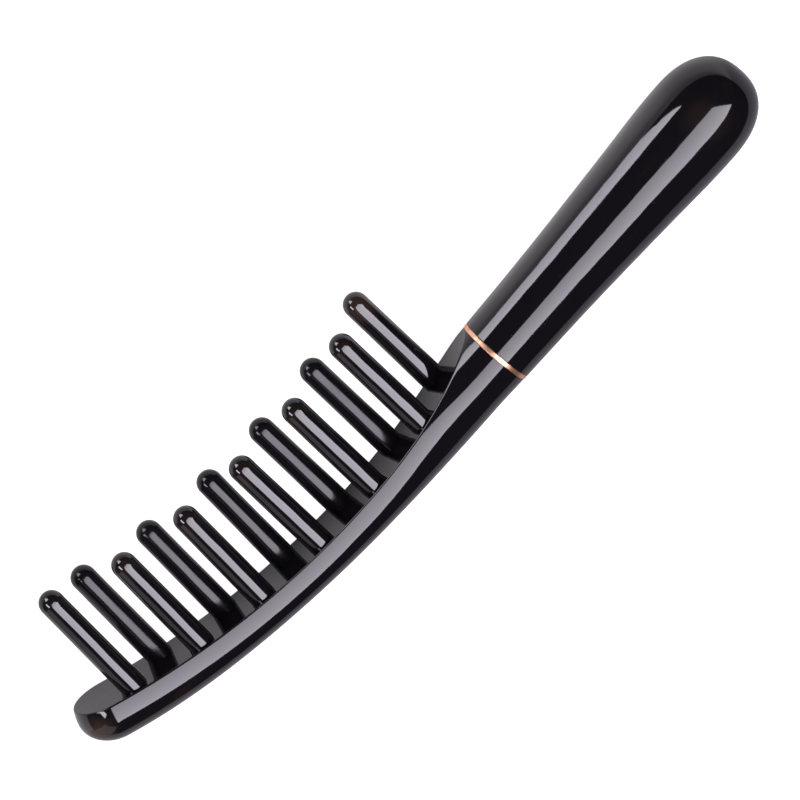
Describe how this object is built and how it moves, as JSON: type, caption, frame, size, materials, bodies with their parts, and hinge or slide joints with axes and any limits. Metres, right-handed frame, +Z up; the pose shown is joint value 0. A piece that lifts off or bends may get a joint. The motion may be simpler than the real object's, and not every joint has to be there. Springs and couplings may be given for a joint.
{
  "type": "beard comb",
  "caption": "Handled wide-tooth comb: curved dark horn bar with two staggered rows of round peg teeth, thin copper ring and club-shaped handle.",
  "frame": {"origin": "middle of the comb's box, on the surface that it lies on", "axes": "+X along the handle towards the butt, +Y towards the tooth tips, +Z up through the comb's thickness, at right angles to its plane"},
  "size_m": [0.1855, 0.05, 0.021],
  "materials": {
    "horn_head": "polished to a high gloss",
    "horn_handle": "polished to a high gloss",
    "horn_teeth": "polished to a high gloss",
    "copper": "polished copper",
    "dowel_wood": "plain turned beech"
  },
  "bodies": {
    "root": {"head_bar": "horn_head", "copper_ring": "copper", "handle": "horn_handle", "handle_dowel": "dowel_wood", "tooth_01": "horn_teeth", "tooth_02": "horn_teeth", "tooth_03": "horn_teeth", "tooth_04": "horn_teeth", "tooth_05": "horn_teeth", "tooth_06": "horn_teeth", "tooth_07": "horn_teeth", "tooth_08": "horn_teeth", "tooth_09": "horn_teeth", "tooth_10": "horn_teeth", "tooth_11": "horn_teeth", "tooth_12": "horn_teeth"}
  },
  "joints": []
}
